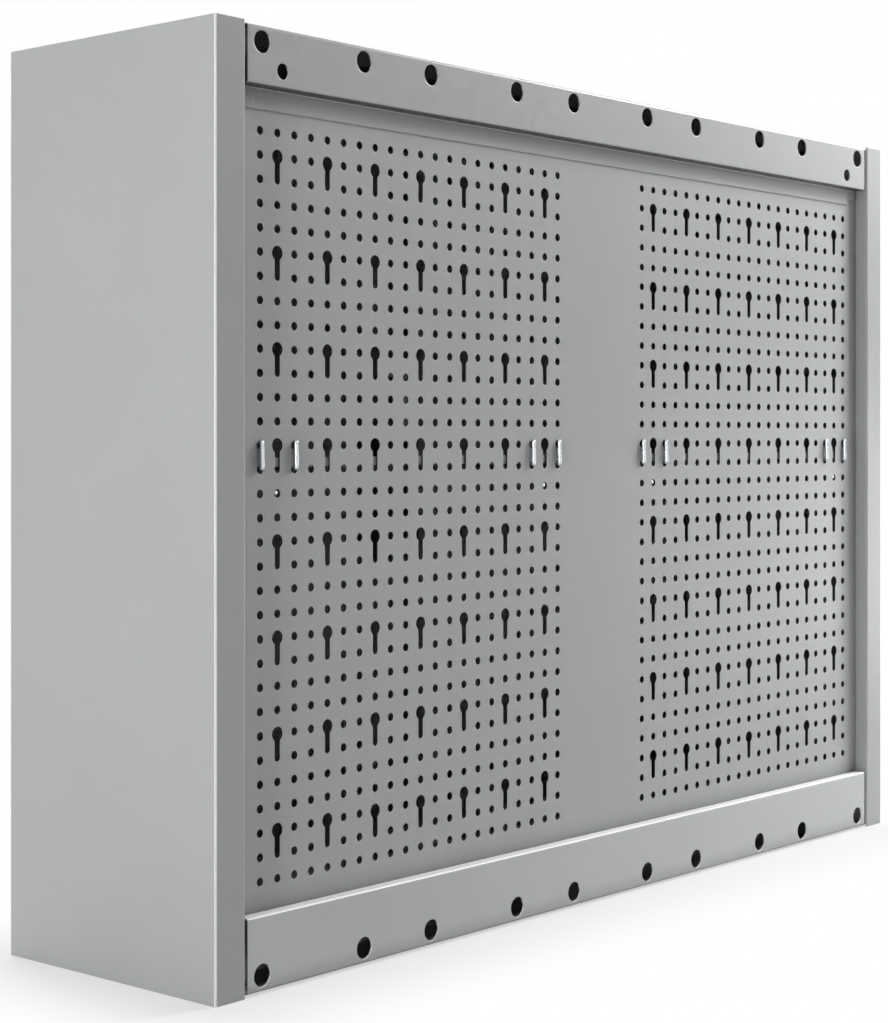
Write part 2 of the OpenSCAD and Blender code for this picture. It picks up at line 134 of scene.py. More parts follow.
@dataclass(frozen=True)
class Surface:
    """A finish's node tree, with the sockets that tell where a point lies and which way it faces."""

    tree: Tree
    place: Socket
    normal: Socket
    at: tuple[Socket, ...]
    facing: tuple[Socket, ...]

    @classmethod
    def of(cls, tree: Tree) -> "Surface":
        """Adds the nodes that read the place and the normal.

        Args:
            tree: The finish's node tree.

        Returns:
            The surface.
        """
        read = add_node(tree, "TexCoord")
        at = add_node(tree, "SeparateXYZ", links={0: read.outputs["Object"]})
        facing = add_node(tree, "SeparateXYZ", links={0: read.outputs["Normal"]})
        place, normal = read.outputs["Object"], read.outputs["Normal"]
        return cls(tree, place, normal, tuple(at.outputs), tuple(facing.outputs))


@dataclass(frozen=True)
class Finish:
    """A surface finish: what the material is and how its surface was made."""

    name: str
    slot: Slot
    colour: str
    roughness: float

    def material(self) -> bpy.types.Material:
        """Gives the finish's material, and builds it the first time.

        Returns:
            The material.
        """
        known = bpy.data.materials.get(self.name)
        if known:
            return known
        made = bpy.data.materials.new(self.name)
        made.use_nodes = True
        made.node_tree.nodes.clear()
        shader = self.shade(Surface.of(made.node_tree))
        add_node(made.node_tree, "OutputMaterial", links={"Surface": shader.outputs["BSDF"]})
        return made

    def shade(self, surface: Surface) -> Node:
        """Builds the finish's nodes and returns its shader."""
        raise NotImplementedError

    def patches(
        self, surface: Surface, size_mm: float, low: float, high: float, detail: float = 2.0
    ) -> Socket:
        """Draws uneven patches, such as clouds in a coat or duller spots in its shine.

        Args:
            surface: The surface.
            size_mm: Distance from one patch to the next.
            low: The least value.
            high: The greatest value.
            detail: How many finer octaves lie over the patches.

        Returns:
            The value, from low to high.
        """
        blotches = add_node(
            surface.tree, "TexNoise", {"Scale": 1 / mm(size_mm), "Detail": detail}, {"Vector": surface.place}
        )
        # The middle of the noise, where nearly all of its values lie, is spread over the whole range.
        return add_node(
            surface.tree,
            "MapRange",
            {"From Min": 0.35, "From Max": 0.65, "To Min": low, "To Max": high},
            {"Value": blotches.outputs["Fac"]},
        ).outputs["Result"]

    def relief(
        self,
        surface: Surface,
        size_mm: float,
        depth_mm: float,
        detail: float = 2.0,
        under: Socket | None = None,
    ) -> Socket:
        """Presses relief of a real size into the surface, such as orange peel, grain or rubbing marks.

        Args:
            surface: The surface.
            size_mm: Distance from one bump to the next.
            depth_mm: The bumps' height.
            detail: How many finer octaves lie over the bumps.
            under: The normal that they lie on, where it isn't the mesh's own.

        Returns:
            The new normal.
        """
        bumps = add_node(
            surface.tree, "TexNoise", {"Scale": 1 / mm(size_mm), "Detail": detail}, {"Vector": surface.place}
        )
        links: dict[str | int, Socket] = {"Height": bumps.outputs["Fac"]}
        if under is not None:
            links["Normal"] = under
        bump = add_node(surface.tree, "Bump", {"Strength": 1.0, "Distance": mm(depth_mm)}, links)
        return bump.outputs["Normal"]


@dataclass(frozen=True)
class PowderCoat(Finish):
    """Polyester powder coat on sheet steel, baked: satin, with a soft orange peel.

    To the eye it is an even light grey with a broad, dull highlight. Painted highlights make its outer folds,
    the edges that face the light and the lower rail's lip pale; painted shade darkens its corners, undersides
    and holes; and it is dull with dust on its tops.
    """

    # Long waves in the coat's thickness, which show as faint clouds.
    cloud_mm: float = 60.0
    cloud_range: Pair = (0.985, 1.01)
    # Orange peel over fine grain. The real grain is about 0.1 mm and is drawn coarser so that it shows.
    peel_mm: float = 2.2
    peel_depth_mm: float = 0.012
    grain_mm: float = 0.6
    grain_depth_mm: float = 0.004
    shine_mm: float = 8.8
    shine_range: float = 0.04
    # Painted edge highlights: how wide, how pale, and the way towards the light that the rounded normal leans
    # on those that get them.
    edge_mm: float = 0.6
    edge_samples: int = 6
    highlight_colour: str = "F4F5F5"
    highlight_way: Point = (0.8, 0.0, 0.6)
    highlight_lean: Pair = (0.04, 0.35)
    highlight_most: float = 0.85
    # Painted highlights on the outer upright folds: the normal's greatest part there, and how far out from
    # the middle they lie.
    fold_facing: Pair = (0.995, 0.94)
    fold_out_mm: float = 20.0
    # Painted shade darkens inside corners, what faces down under the rails' rear folds, and the holes' walls.
    # All else that faces down, in front of hem_y_mm, is drawn paler with painted light.
    corner_shade_mm: float = 14.0
    corner_samples: int = 4
    corner_open: Pair = (0.4, 0.95)
    corner_shade_level: float = 0.5
    under_facing: Pair = (-0.35, -0.75)
    under_shade_level: float = 0.1
    hem_light_level: float = 1.5
    hem_y_mm: float = 89.2
    bore_facing: Pair = (0.3, 0.1)
    bore_shade_level: float = 1.0
    # Dust: dull on what faces up. A wall rail's face is drawn paler with painted light.
    dust_facing: Pair = (0.6, 0.95)
    dust_dull: float = 0.3
    rail_y_mm: float = 97.0
    rail_light_level: float = 1.0
    # Painted light from above: the lower rail's lip is drawn pale right across.
    lip_facing: float = 0.5
    lip_y_mm: float = 86.2
    lip_top_mm: float = 80.0

    def shade(self, surface: Surface) -> Node:
        """Builds the coat: clouds, painted highlights, painted shade and light, dust, and orange peel over
        fine grain.

        Args:
            surface: The surface that gets it.

        Returns:
            The shader.
        """
        tree = surface.tree
        bevel = add_node(tree, "Bevel", {"samples": self.edge_samples, "Radius": mm(self.edge_mm)})
        # Painted highlights: the outer folds, the edges that face the light and the lower rail's lip are
        # mixed towards a near-white colour.
        lip = self.lip(surface)
        painted_highlight = add_node(tree, "Math", {"operation": "MAXIMUM"}, {0: self.painted_highlight(surface, bevel), 1: lip})
        pale = add_node(
            tree,
            "Mix",
            {"data_type": "RGBA", 6: linear(self.colour), 7: linear(self.highlight_colour)},
            {0: painted_highlight.outputs["Value"]},
        )
        level = self.patches(surface, self.cloud_mm, *self.cloud_range, detail=3.0)
        # Painted shade in corners, undersides and holes, and painted light on hems and the rail face, scale
        # the colour.
        parts = (self.corner(surface, lip), self.underside(surface), self.bore(surface), self.rail(surface))
        for part in parts:
            level = add_node(tree, "Math", {"operation": "MULTIPLY"}, {0: level, 1: part}).outputs["Value"]
        colour = add_node(tree, "VectorMath", {"operation": "SCALE"}, {0: pale.outputs[2], "Scale": level})
        grain = self.relief(surface, self.grain_mm, self.grain_depth_mm, under=bevel.outputs["Normal"])
        peel = self.relief(surface, self.peel_mm, self.peel_depth_mm, 1.0, grain)
        low, high = self.roughness - self.shine_range, self.roughness + self.shine_range
        shine = self.patches(surface, self.shine_mm, low, high)
        start, end = self.dust_facing
        levels = {"From Min": start, "From Max": end, "To Max": self.dust_dull}
        dust = add_node(tree, "MapRange", levels, {"Value": surface.facing[2]})
        rough = add_node(tree, "Math", {"operation": "ADD"}, {0: shine, 1: dust.outputs["Result"]})
        return add_node(
            tree,
            "BsdfPrincipled",
            {"IOR": 1.5},
            {"Base Color": colour.outputs["Vector"], "Roughness": rough.outputs["Value"], "Normal": peel},
        )

    def painted_highlight(self, surface: Surface, bevel: Node) -> Socket:
        """Finds where highlights are painted pale: on the outer upright folds and on edges that lean towards
        the light.

        Args:
            surface: The surface.
            bevel: The normals with rounded edges.

        Returns:
            0 where no highlight is painted, up to 1 where it is palest.
        """
        tree = surface.tree
        flat = add_node(tree, "NewGeometry").outputs["Normal"]
        lean = add_node(tree, "VectorMath", {"operation": "SUBTRACT"}, {0: bevel.outputs["Normal"], 1: flat})
        along = add_node(
            tree, "VectorMath", {"operation": "DOT_PRODUCT", 1: self.highlight_way}, {0: lean.outputs["Vector"]}
        )
        start, end = self.highlight_lean
        levels = {"From Min": start, "From Max": end, "To Max": self.highlight_most}
        edges = add_node(tree, "MapRange", levels, {"Value": along.outputs["Value"]})
        size = add_node(tree, "VectorMath", {"operation": "ABSOLUTE"}, {0: surface.normal})
        parts = add_node(tree, "SeparateXYZ", links={0: size.outputs["Vector"]})
        most = parts.outputs[0]
        for other in parts.outputs[1:]:
            most = add_node(tree, "Math", {"operation": "MAXIMUM"}, {0: most, 1: other}).outputs["Value"]
        start, end = self.fold_facing
        folds = add_node(tree, "MapRange", {"From Min": start, "From Max": end}, {"Value": most})
        outward = add_node(tree, "Math", {"operation": "MULTIPLY"}, {0: surface.facing[0], 1: surface.at[0]})
        limit = {"operation": "GREATER_THAN", 1: mm(self.fold_out_mm)}
        outer = add_node(tree, "Math", limit, {0: outward.outputs["Value"]})
        upright = add_node(
            tree, "Math", {"operation": "MULTIPLY"}, {0: folds.outputs["Result"], 1: outer.outputs["Value"]}
        )
        return add_node(
            tree, "Math", {"operation": "MAXIMUM"}, {0: edges.outputs["Result"], 1: upright.outputs["Value"]}
        ).outputs["Value"]

    def lip(self, surface: Surface) -> Socket:
        """Finds the top of the lower rail's lip, where a highlight from above is painted.

        Args:
            surface: The surface.

        Returns:
            1 there and 0 elsewhere.
        """
        limits = (
            ("GREATER_THAN", self.lip_facing, surface.facing[2]),
            ("GREATER_THAN", mm(self.lip_y_mm), surface.at[1]),
            ("LESS_THAN", mm(self.lip_top_mm), surface.at[2]),
        )
        found, *others = (
            add_node(surface.tree, "Math", {"operation": way, 1: limit}, {0: value}).outputs["Value"]
            for way, limit, value in limits
        )
        for other in others:
            both = add_node(surface.tree, "Math", {"operation": "MULTIPLY"}, {0: found, 1: other})
            found = both.outputs["Value"]
        return found

    def corner(self, surface: Surface, lip: Socket) -> Socket:
        """Finds the painted shade in inside corners, drawn darker where ambient occlusion finds nearby
        surfaces.

        Args:
            surface: The surface.
            lip: Where the lower rail's lip is, which keeps its painted highlight and gets no painted shade.

        Returns:
            The colour's level there.
        """
        near = add_node(
            surface.tree, "AmbientOcclusion", {"samples": self.corner_samples, "Distance": mm(self.corner_shade_mm)}
        )
        start, end = self.corner_open
        levels = {"From Min": start, "From Max": end, "To Min": self.corner_shade_level}
        inside = add_node(surface.tree, "MapRange", levels, {"Value": near.outputs["AO"]})
        return add_node(
            surface.tree, "Math", {"operation": "MAXIMUM"}, {0: inside.outputs["Result"], 1: lip}
        ).outputs["Value"]

    def underside(self, surface: Surface) -> Socket:
        """Finds the painted light and shade on what faces down: shaded dark behind hem_y_mm, and painted
        paler in front of it.

        Args:
            surface: The surface.

        Returns:
            The colour's level there.
        """
        start, end = self.under_facing
        down = add_node(
            surface.tree, "MapRange", {"From Min": start, "From Max": end}, {"Value": surface.facing[2]}
        )
        rear = add_node(
            surface.tree, "Math", {"operation": "GREATER_THAN", 1: mm(self.hem_y_mm)}, {0: surface.at[1]}
        )
        levels = {"To Min": self.hem_light_level, "To Max": self.under_shade_level}
        most = add_node(surface.tree, "MapRange", levels, {"Value": rear.outputs["Value"]})
        return add_node(
            surface.tree,
            "MapRange",
            {"To Min": 1.0},
            {"Value": down.outputs["Result"], "To Max": most.outputs["Result"]},
        ).outputs["Result"]

    def bore(self, surface: Surface) -> Socket:
        """Finds the painted shade that darkens the walls of holes through upright sheet.

        Args:
            surface: The surface.

        Returns:
            The colour's level there.
        """
        across = add_node(surface.tree, "Math", {"operation": "ABSOLUTE"}, {0: surface.facing[1]})
        start, end = self.bore_facing
        levels = {"From Min": start, "From Max": end, "To Min": 1.0, "To Max": self.bore_shade_level}
        remap = add_node(surface.tree, "MapRange", levels, {"Value": across.outputs["Value"]})
        return remap.outputs["Result"]

    def rail(self, surface: Surface) -> Socket:
        """Finds how much paler a wall rail's face is painted, as painted light.

        Args:
            surface: The surface.

        Returns:
            The colour's level there.
        """
        face = add_node(
            surface.tree, "Math", {"operation": "GREATER_THAN", 1: mm(self.rail_y_mm)}, {0: surface.at[1]}
        )
        levels = {"To Min": 1.0, "To Max": self.rail_light_level}
        return add_node(surface.tree, "MapRange", levels, {"Value": face.outputs["Value"]}).outputs["Result"]


@dataclass(frozen=True)
class MetalPlate(Finish):
    """Bright plate over drawn, pressed or cast metal: a cool white metal, a little patchy in its shine."""

    patch_mm: float = 5.0
    shine_range: Pair = (-0.04, 0.06)
    # Real rubbing marks are about 0.2 mm apart and are drawn coarser so that they show.
    mark_mm: float = 1.4
    mark_depth_mm: float = 0.004

    def shade(self, surface: Surface) -> Node:
        """Builds the plate: patchy shine with fine rubbing marks.

        Args:
            surface: The surface that gets it.

        Returns:
            The shader.
        """
        low, high = (self.roughness + change for change in self.shine_range)
        shine = self.patches(surface, self.patch_mm, low, high)
        marks = self.relief(surface, self.mark_mm, self.mark_depth_mm, 1.0)
        return add_node(
            surface.tree,
            "BsdfPrincipled",
            {"Base Color": linear(self.colour), "Metallic": 1.0},
            {"Roughness": shine, "Normal": marks},
        )


@dataclass(frozen=True)
class Moulding(Finish):
    """Injection-moulded plastic or rubber with a spark-eroded texture: a dull, even sheen over fine grain."""

    # The eroded grain is about 0.05 mm on a real mould and is drawn coarser so that it shows.
    grain_mm: float = 0.5
    grain_depth_mm: float = 0.01
    shine_mm: float = 9.0
    shine_range: float = 0.05
    fade_mm: float = 25.0
    fade: float = 0.12

    def shade(self, surface: Surface) -> Node:
        """Builds the moulding: eroded grain, a little fading, uneven shine.

        Args:
            surface: The surface that gets it.

        Returns:
            The shader.
        """
        grain = self.relief(surface, self.grain_mm, self.grain_depth_mm)
        low, high = self.roughness - self.shine_range, self.roughness + self.shine_range
        shine = self.patches(surface, self.shine_mm, low, high)
        level = self.patches(surface, self.fade_mm, 1 - self.fade, 1 + self.fade, 3.0)
        colour = add_node(
            surface.tree, "VectorMath", {"operation": "SCALE", 0: linear(self.colour)[:3]}, {"Scale": level}
        )
        return add_node(
            surface.tree,
            "BsdfPrincipled",
            {"IOR": 1.5},
            {"Base Color": colour.outputs["Vector"], "Roughness": shine, "Normal": grain},
        )


BODY_GREY = "B8BABB"
# Powder-coated sheet of the sides: an even satin grey, with a little painted shade in its corners.
SIDE_COAT = PowderCoat(
    "powder_coated_steel_body", Slot.BODY, "B3B5B6", 0.33, corner_shade_mm=5.0, corner_shade_level=0.95
)
# Powder-coated sheet of the top with its wall rail: the same grey with wider painted edge highlights.
RAIL_COAT = PowderCoat("powder_coated_steel_rails", Slot.BODY, BODY_GREY, 0.33, edge_mm=1.2)
# Powder-coated sheet of the bottom: its rail's face is painted a little paler with painted light.
FOOT_COAT = PowderCoat(
    "powder_coated_steel_lower_rail", Slot.BODY, BODY_GREY, 0.33, edge_mm=1.2, rail_light_level=1.28
)
# Powder-coated perforated sheet: painted shade keeps the holes' walls nearly black.
PANEL_COAT = PowderCoat("powder_coated_perforated_steel", Slot.BODY, BODY_GREY, 0.33, bore_shade_level=0.05)
# Powder-coated sheet of the shelves: a shade paler, with no painted shade in its corners.
SHELF_COAT = PowderCoat("powder_coated_steel_shelves", Slot.BODY, "C4C6C7", 0.33, corner_shade_level=1.0)
# Powder-coated sheet of the doors: the body's grey, with painted shade inside the pans' folds.
DOOR_COAT = PowderCoat(
    "powder_coated_steel_doors", Slot.DOOR, BODY_GREY, 0.33, corner_shade_mm=5.0, corner_shade_level=0.7
)
# Zinc-plated drawn wire: bright white stripes along round wire.
ZINC_WIRE = MetalPlate("zinc_plated_drawn_wire", Slot.WIRE, "CDD0D3", 0.28)
# Zinc-plated pressed steel: a duller, bluish white metal.
ZINC_STEEL = MetalPlate("zinc_plated_pressed_steel", Slot.ZINC, "B4B9BC", 0.4, mark_depth_mm=0.006)
# Chrome-plated die casting: a smooth, nearly sharp mirror.
CHROME = MetalPlate(
    "chrome_plated_die_casting", Slot.CHROME, "B9BBBD", 0.16, patch_mm=9.0, mark_depth_mm=0.001
)
# Moulded black ABS: a dark, fine-grained satin.
BLACK_ABS = Moulding("moulded_black_abs", Slot.PLASTIC, "17181A", 0.42)
# Moulded natural nylon: a waxy off-white.
NYLON = Moulding("moulded_natural_nylon", Slot.NYLON, "E3E0D4", 0.42, fade=0.04)
# Moulded black rubber: dull and nearly black.
RUBBER = Moulding("moulded_black_rubber", Slot.RUBBER, "161616", 0.8)


def dress(names: Iterable[str], finish: Finish) -> None:
    """Gives CAD nodes a finish.

    Args:
        names: The nodes' names.
        finish: The finish that they get.
    """
    for name in names:
        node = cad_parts[name]
        if not node.data.materials:
            node.data.materials.append(finish.material())
        for slot in node.material_slots:
            slot.material = finish.material()
        LOG.info("%s: %s", name, finish.name)


# ---- Shapes ----


# The four corners of a rectangle, anticlockwise, as signs of its half sides.
CORNERS = ((-1, -1), (1, -1), (1, 1), (-1, 1))
# Faces that meet at less than this are shaded as one round surface.
SMOOTH_BELOW = math.radians(35)
# How many steps make a rounded corner of an outline and a bend of a wire.
LOOP_STEPS = 7
BEND_STEPS = 8
WIRE_SIDES = 14
# The rounding of a wire's end: how far round the end each of its rings lies, in degrees.
WIRE_CAP = (75, 50, 25)


def loop(half_x: float, half_z: float, corner: float) -> list[Pair]:
    """Gives the outline of a rectangle with round corners, in X and Z round the origin.

    Args:
        half_x: Half its width.
        half_z: Half its height.
        corner: Its corners' radius.

    Returns:
        The points, anticlockwise as seen from the front.
    """
    points = []
    for turn, (way_x, way_z) in enumerate(((1, 1), (-1, 1), (-1, -1), (1, -1))):
        for step in range(LOOP_STEPS + 1):
            angle = math.radians(90 * (turn + step / LOOP_STEPS))
            x = way_x * (half_x - corner) + corner * math.cos(angle)
            z = way_z * (half_z - corner) + corner * math.sin(angle)
            points.append((x, z))
    return points


def bent(corners: list[Point], bends: tuple[float, ...]) -> list[Vector]:
    """Rounds the corners of a path.

    Args:
        corners: The path's ends and corners.
        bends: The bend radius at each corner.

    Returns:
        The points of the rounded path.
    """
    spots = [Vector(corner) for corner in corners]
    path = [spots[0]]
    for before, corner, after, bend in zip(spots, spots[1:], spots[2:], bends):
        way_in, way_out = (before - corner).normalized(), (after - corner).normalized()
        half = way_in.angle(way_out) / 2
        centre = corner + (way_in + way_out).normalized() * bend / math.sin(half)
        start, end = (corner + way * bend / math.tan(half) - centre for way in (way_in, way_out))
        path += [centre + start.slerp(end, i / BEND_STEPS) for i in range(BEND_STEPS + 1)]
    return path + [spots[-1]]


@dataclass
class Solid:
    """A closed mesh in the making, from rings of points that are skinned one to the next. In millimetres."""

    mesh: bmesh.types.BMesh = field(default_factory=bmesh.new)

    def stack(self, rings: list[list[Point]], bored: bool = False) -> None:
        """Skins a stack of rings and closes its two ends.

        Args:
            rings: Rings with the same number of points each.
            bored: Whether the last ring joins the first, as in a tube.
        """
        made = [[self.mesh.verts.new([mm(v) for v in point]) for point in ring] for ring in rings]
        count = len(rings[0])
        pairs = list(zip(made, made[1:])) + ([(made[-1], made[0])] if bored else [])
        for low, high in pairs:
            for i in range(count):
                self.mesh.faces.new((low[i], low[(i + 1) % count], high[(i + 1) % count], high[i]))
        if not bored:
            self.mesh.faces.new(made[0][::-1])
            self.mesh.faces.new(made[-1])

    def turn(
        self,
        centre: Point,
        axis: Point,
        profile: list[Pair],
        steps: int = 40,
        bored: bool = False,
        flutes: int = 0,
        flute_depth: float = 0.0,
    ) -> None:
        """Turns a profile round an axis.

        Args:
            centre: Where the profile's height is 0.
            axis: The way that its height grows.
            profile: Radius and height of each ring.
            steps: Points in a ring.
            bored: Whether the profile is a closed one, as of a tube.
            flutes: How many grip flutes run along the axis.
            flute_depth: How deep they are.
        """
        spin = Vector((0, 0, 1)).rotation_difference(Vector(axis))
        rings = []
        for radius, height in profile:
            ring = []
            for i in range(steps):
                angle = math.tau * i / steps
                reach = radius - flute_depth * (0.5 - 0.5 * math.cos(flutes * angle))
                spot = spin @ Vector((reach * math.cos(angle), reach * math.sin(angle), height))
                ring.append(tuple(Vector(centre) + spot))
            rings.append(ring)
        self.stack(rings, bored)

    def block(self, low: Point, high: Point) -> None:
        """Adds a box.

        Args:
            low: Its lowest corner.
            high: Its highest corner.
        """
        ends = (low, high)
        across = [(ends[(sx + 1) // 2][0], ends[(sy + 1) // 2][1]) for sx, sy in CORNERS]
        self.stack([[(x, y, z) for x, y in across] for z in (low[2], high[2])])

    def wire(self, corners: list[Point], bends: tuple[float, ...], radius: float) -> None:
        """Adds a bent wire with rounded ends.

        Args:
            corners: The path's ends and corners.
            bends: The bend radius at each corner.
            radius: The wire's radius.
        """
        path = bent(corners, bends)
        first, last = (path[1] - path[0]).normalized(), (path[-1] - path[-2]).normalized()
        leans = [math.radians(lean) for lean in WIRE_CAP]
        cap = [(radius * math.cos(lean), radius * (math.sin(lean) - 1)) for lean in leans]
        stops = [(path[0] - first * out, first, wide) for wide, out in cap]
        stops.append((path[0] + first * radius, first, radius))
        for before, spot, after in zip(path, path[1:], path[2:]):
            stops.append((spot, (after - before).normalized(), radius))
        stops.append((path[-1] - last * radius, last, radius))
        stops += [(path[-1] + last * out, last, wide) for wide, out in cap[::-1]]
        across, way = first.orthogonal().normalized(), first
        rings = []
        for spot, ahead, wide in stops:
            across = (way.rotation_difference(ahead) @ across).normalized()
            way = ahead
            up = ahead.cross(across)
            turns = [math.tau * i / WIRE_SIDES for i in range(WIRE_SIDES)]
            rings.append([tuple(spot + wide * (across * math.cos(t) + up * math.sin(t))) for t in turns])
        self.stack(rings)

    def made(self, name: str) -> bpy.types.Object:
        """Turns the mesh into an object in the scene.

        Args:
            name: The object's name.

        Returns:
            The object, smooth where its faces meet at less than SMOOTH_BELOW.
        """
        bmesh.ops.recalc_face_normals(self.mesh, faces=self.mesh.faces)
        for face in self.mesh.faces:
            face.smooth = True
        for edge in self.mesh.edges:
            edge.smooth = len(edge.link_faces) == 2 and edge.calc_face_angle(0) < SMOOTH_BELOW
        mesh = bpy.data.meshes.new(name)
        self.mesh.to_mesh(mesh)
        self.mesh.free()
        made = bpy.data.objects.new(name, mesh)
        bpy.context.scene.collection.objects.link(made)
        return made


def cut(piece: bpy.types.Object, tool: bpy.types.Object) -> None:
    """Cuts one object out of another and deletes the tool.

    Args:
        piece: The object that is cut.
        tool: The shape that it loses.
    """
    change = piece.modifiers.new("cut", "BOOLEAN")
    change.object = tool
    change.solver = "EXACT"
    seen = piece.evaluated_get(bpy.context.evaluated_depsgraph_get())
    mesh = bpy.data.meshes.new_from_object(seen)
    piece.modifiers.clear()
    piece.data = mesh
    bpy.data.objects.remove(tool)


def place(piece: bpy.types.Object, finish: Finish, body: Body, *stands_for: str) -> None:
    """Gives a piece its finish, its body and the nodes that it stands for.

    Args:
        piece: The piece.
        finish: Its finish.
        body: The body that it moves with.
        stands_for: The CAD nodes that it replaces.
    """
    piece.data.materials.clear()
    piece.data.materials.append(finish.material())
    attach(piece, body.value)
    if stands_for:
        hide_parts(*stands_for)
    LOG.info("%s: %s, on %s", piece.name, finish.name, body.value)


@dataclass(frozen=True)
class PanScrew:
    """A pan-head tapping screw with a cross recess."""

    name: str
    seat: Point
    axis: Point
    shank_l: float
    head_h: float
    head_r: float = 3.0
    head_edge: float = 0.2
    head_under: float = 0.15
    dome_steps: int = 7
    dome_step_deg: float = 12.0
    dome_power: float = 0.8
    shank_r: float = 1.5
    neck: float = 0.2
    tip_r: float = 0.3
    thread: float = 0.8
    thread_depth: float = 0.25
    recess_r: float = 1.9
    recess_w: float = 0.75
    # The recess's floor: its share of the reach, its share of the width, and its height over the seat.
    recess_floor: tuple[float, float, float] = (0.35, 0.74, 0.35)
    recess_over: float = 0.5

    def build(self, finish: Finish, body: Body, *stands_for: str) -> None:
        """Makes the screw: a thread in rings, a domed head, and the recess cut into it.

        Args:
            finish: Its finish.
            body: The body that it moves with.
            stands_for: The CAD nodes that it replaces.
        """
        solid = Solid()
        root = self.shank_r - self.thread_depth
        profile = [(self.tip_r, -self.shank_l)]
        for i in range(int(self.shank_l / self.thread)):
            crest = -self.shank_l + self.thread * (i + 0.5)
            profile += [
                (root, crest - self.thread_depth),
                (self.shank_r, crest),
                (root, crest + self.thread_depth),
            ]
        profile += [
            (self.shank_r - self.neck, 0.0),
            (self.head_r - self.head_under, 0.0),
            (self.head_r, self.head_edge),
        ]
        for i in range(1, self.dome_steps + 1):
            lean = math.radians(self.dome_step_deg * i)
            height = self.head_edge + (self.head_h - self.head_edge) * math.sin(lean)
            profile.append((self.head_r * math.cos(lean) ** self.dome_power, height))
        solid.turn(self.seat, self.axis, profile)
        screw = solid.made(self.name)
        for long_x in (True, False):
            cut(screw, self.recess_arm(long_x))
        place(screw, finish, body, *stands_for)

    def recess_arm(self, long_x: bool) -> bpy.types.Object:
        """Makes one arm of the cross recess, as the shape that is cut out.

        Args:
            long_x: Whether the arm runs along the first of the head's two ways.

        Returns:
            The shape.
        """
        spin = Vector((0, 0, 1)).rotation_difference(Vector(self.axis))
        rings = []
        for reach, part, height in (self.recess_floor, (1.0, 1.0, self.head_h + self.recess_over)):
            long_side, wide = self.recess_r * reach, self.recess_w * part / 2
            half = (long_side, wide) if long_x else (wide, long_side)
            ring = [spin @ Vector((sx * half[0], sy * half[1], height)) for sx, sy in CORNERS]
            rings.append([tuple(Vector(self.seat) + spot) for spot in ring])
        solid = Solid()
        solid.stack(rings)
        return solid.made("recess")


# ---- Sub-assemblies ----


@dataclass
class Carcass:
    """The folded body: two sides, top and bottom with the wall rails, and the perforated back."""

    sides: tuple[str, ...] = ("side_panel_left", "side_panel_right")
    top: str = "top_panel"
    foot: str = "bottom_panel"
    back: str = "back_panel"
    lip_end: tuple[Point, Point] = ((358.7, 88.0, 544.0), (374.3, 89.03, 557.4))

    def build(self) -> None:
        """Dresses the body's sheets and carries the upper rail's lip out to one flange."""
        dress(self.sides, SIDE_COAT)
        dress((self.top,), RAIL_COAT)
        dress((self.foot,), FOOT_COAT)
        dress((self.back,), PANEL_COAT)
        solid = Solid()
        solid.block(*self.lip_end)
        place(solid.made("rail_lip_end"), RAIL_COAT, Body.CABINET)


@dataclass
class Shelving:
    """Two folded shelves, each on two brackets of bent wire that hook into the perforated back."""

    shelves: tuple[str, ...] = ("shelf_left", "shelf_right")
    bracket_x: tuple[tuple[str, float], ...] = (
        ("left_outer", -337.5),
        ("left_inner", -67.5),
        ("right_inner", 67.5),
        ("right_outer", 337.5),
    )
    wire_r: float = 1.5
    arm_x: float = 15.0
    arm_z: float = 321.0
    arm_front: float = -51.0
    arm_bends: tuple[float, ...] = (2.0, 6.0, 6.0, 2.0)
    hook_foot_y: float = 91.2
    hook_top: Pair = (89.7, 339.3)
    brace_front: float = -52.0
    brace_z: float = 318.4
    brace_bend: float = 4.0
    peg_x: float = 1.0
    peg_knee: Pair = (75.4, 318.4)
    peg_tip: Pair = (88.3, 305.6)

    def build(self) -> None:
        """Dresses the shelves and bends the brackets."""
        dress(self.shelves, SHELF_COAT)
        for name, x in self.bracket_x:
            self.bracket(name, x)

    def bracket(self, name: str, x: float) -> None:
        """Bends one bracket: two arms whose hooks lean back on the panel, and a brace whose end pegs into it.

        Args:
            name: Which bracket it is.
            x: Where its brace is.
        """
        near, far = (
            [(end, *self.hook_top), (end, self.hook_foot_y, self.arm_z), (end, self.arm_front, self.arm_z)]
            for end in (x - self.arm_x, x + self.arm_x)
        )
        brace = [(x, self.brace_front, self.brace_z), (x, *self.peg_knee), (x + self.peg_x, *self.peg_tip)]
        solid = Solid()
        solid.wire(near + far[::-1], self.arm_bends, self.wire_r)
        solid.wire(brace, (self.brace_bend,), self.wire_r)
        place(solid.made(f"bent_wire_bracket_{name}"), ZINC_WIRE, Body.CABINET, f"shelf_bracket_{name}")


